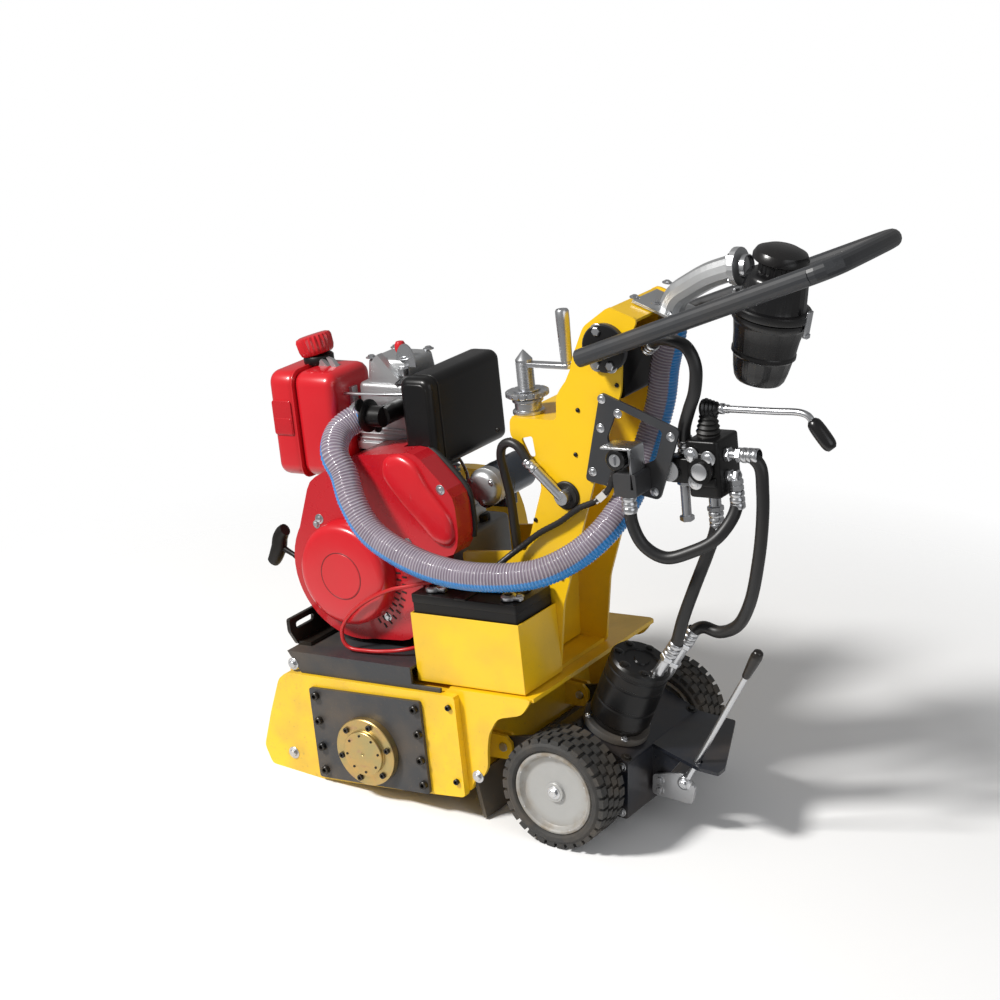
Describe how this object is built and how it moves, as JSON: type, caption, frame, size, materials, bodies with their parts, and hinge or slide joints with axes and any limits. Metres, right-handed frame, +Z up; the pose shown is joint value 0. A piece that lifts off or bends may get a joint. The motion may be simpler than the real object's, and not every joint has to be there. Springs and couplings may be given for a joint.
{
  "type": "walk-behind cold planer milling machine",
  "caption": "Walk-behind hydraulic cold planer with an air-cooled diesel on a drum housing, a hydraulic drive axle behind, and a pivoting handlebar.",
  "frame": {"origin": "on the ground at the middle of the footprint", "axes": "+X to the rear where the operator walks, -Y the machine side with the battery and recoil starter, +Z up"},
  "size_m": [1.2653, 0.5719, 1.2077],
  "materials": {
    "yellow_paint": "gloss",
    "dark_grey_paint": "satin",
    "red_paint": "gloss",
    "black_paint": "satin",
    "black_plastic": "satin",
    "rubber": "matte",
    "tyre_rubber": "matte",
    "rim_paint": "satin",
    "aluminium": "cast",
    "zinc_plate": "plated",
    "gold_zinc": "plated",
    "cast_iron": "rough",
    "red_cable": "satin",
    "clear_hose": "clear"
  },
  "bodies": {
    "body": {"main_frame": "yellow_paint", "side_cover_left": "yellow_paint", "side_cover_right": "yellow_paint", "bearing_plate_left": "dark_grey_paint", "bearing_flange_left": "gold_zinc", "belt_guard": "yellow_paint", "rear_skirt": "rubber", "pivot_pin_left": "zinc_plate", "pivot_pin_right": "zinc_plate", "engine_base": "dark_grey_paint", "front_bracket": "black_paint", "column": "yellow_paint", "engine_block": "cast_iron", "engine_shroud": "red_paint", "recoil_starter": "red_paint", "starter_grip": "black_plastic", "fuel_tank": "red_paint", "fuel_cap": "red_paint", "cylinder_head": "aluminium", "silencer": "black_paint", "starter_motor": "aluminium", "intake_flange": "black_paint", "battery_box": "yellow_paint", "battery": "black_plastic", "intake_elbow": "aluminium", "air_cleaner": "black_plastic", "cleaner_cup": "black_plastic", "intake_hose": "clear_hose", "control_bracket": "dark_grey_paint", "hose_bulkhead": "dark_grey_paint", "control_box": "black_plastic", "valve_block": "black_paint", "valve_lever": "zinc_plate", "key_switch": "zinc_plate", "hose_lower_loop": "rubber", "hose_upper_loop": "rubber", "motor_hose_a": "rubber", "motor_hose_b": "rubber", "port_fitting": "zinc_plate", "port_hose": "rubber", "battery_cable": "red_cable", "earth_cable": "rubber", "wiring_harness": "rubber", "crank_bush": "zinc_plate"},
    "depth_crank": {"depth_crank": "zinc_plate"},
    "handlebar": {"handlebar": "dark_grey_paint"},
    "drum": {"milling_drum": "cast_iron"},
    "drive_frame": {"axle_box": "dark_grey_paint", "motor_flange": "cast_iron", "drive_motor": "black_paint", "clutch_lever": "zinc_plate", "lever_bracket": "zinc_plate"},
    "wheel_left": {"tyre_left": "tyre_rubber", "wheel_rim_left": "rim_paint"},
    "wheel_right": {"tyre_right": "tyre_rubber", "wheel_rim_right": "rim_paint"}
  },
  "joints": [
    {"name": "drum_spin", "type": "hinge", "parent": "body", "child": "drum", "pos_m": [-0.27857, 0, 0.10274], "axis": [0, 1, 0], "continuous": true},
    {"name": "drive_frame_swing", "type": "hinge", "parent": "body", "child": "drive_frame", "pos_m": [-0.03032, 0, 0.13221], "axis": [0, 1, 0], "range_deg": [-6, 10], "deforming": ["motor_hose_a", "motor_hose_b"]},
    {"name": "wheel_left_spin", "type": "hinge", "parent": "drive_frame", "child": "wheel_left", "pos_m": [0.136, 0, 0.113], "axis": [0, 1, 0], "continuous": true},
    {"name": "wheel_right_spin", "type": "hinge", "parent": "drive_frame", "child": "wheel_right", "pos_m": [0.136, 0, 0.113], "axis": [0, 1, 0], "continuous": true},
    {"name": "handlebar_tilt", "type": "hinge", "parent": "body", "child": "handlebar", "pos_m": [0.14887, 0, 0.96224], "axis": [0, 1, 0], "range_deg": [-15, 10]},
    {"name": "depth_crank_turn", "type": "hinge", "parent": "body", "child": "depth_crank", "pos_m": [-0.04458, -0.05, 0.81456], "axis": [-0.1219, 0, 0.9925], "continuous": true}
  ]
}
